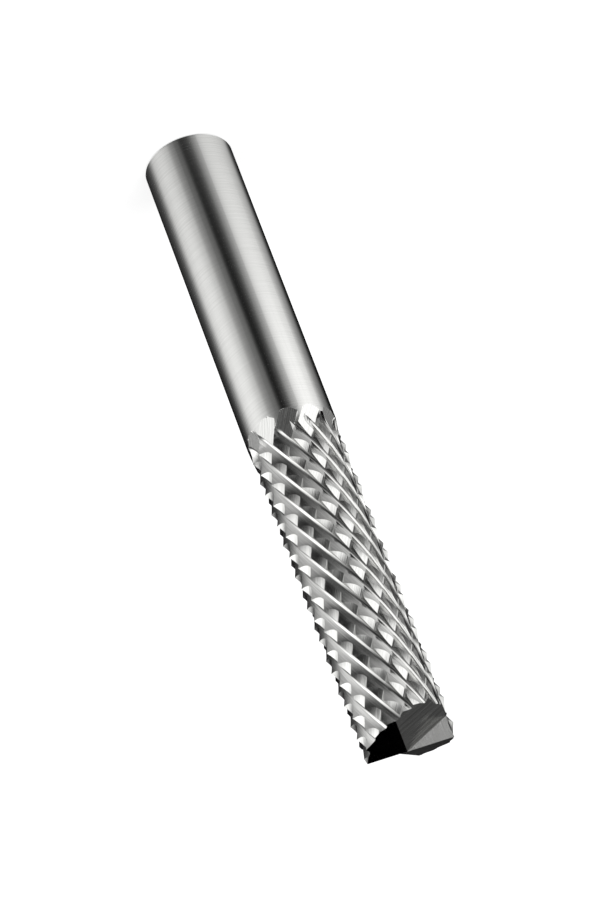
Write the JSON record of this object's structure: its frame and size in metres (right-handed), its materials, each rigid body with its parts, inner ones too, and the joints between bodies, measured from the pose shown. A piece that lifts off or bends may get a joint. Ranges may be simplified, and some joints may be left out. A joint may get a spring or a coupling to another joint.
{
  "type": "rotary burr",
  "caption": "Cylindrical rotary burr ground from one rod: a plain round shank, a head of cross-cut pyramid teeth and a gashed cutting end.",
  "frame": {"origin": "centre of the flat shank end", "axes": "+Z along the axis from the shank end to the cutting end; the side that the picture shows faces -Y"},
  "size_m": [0.0064, 0.0064, 0.0508],
  "materials": {
    "ground_carbide": "ground"
  },
  "bodies": {
    "root": {"burr": "ground_carbide"}
  },
  "joints": []
}
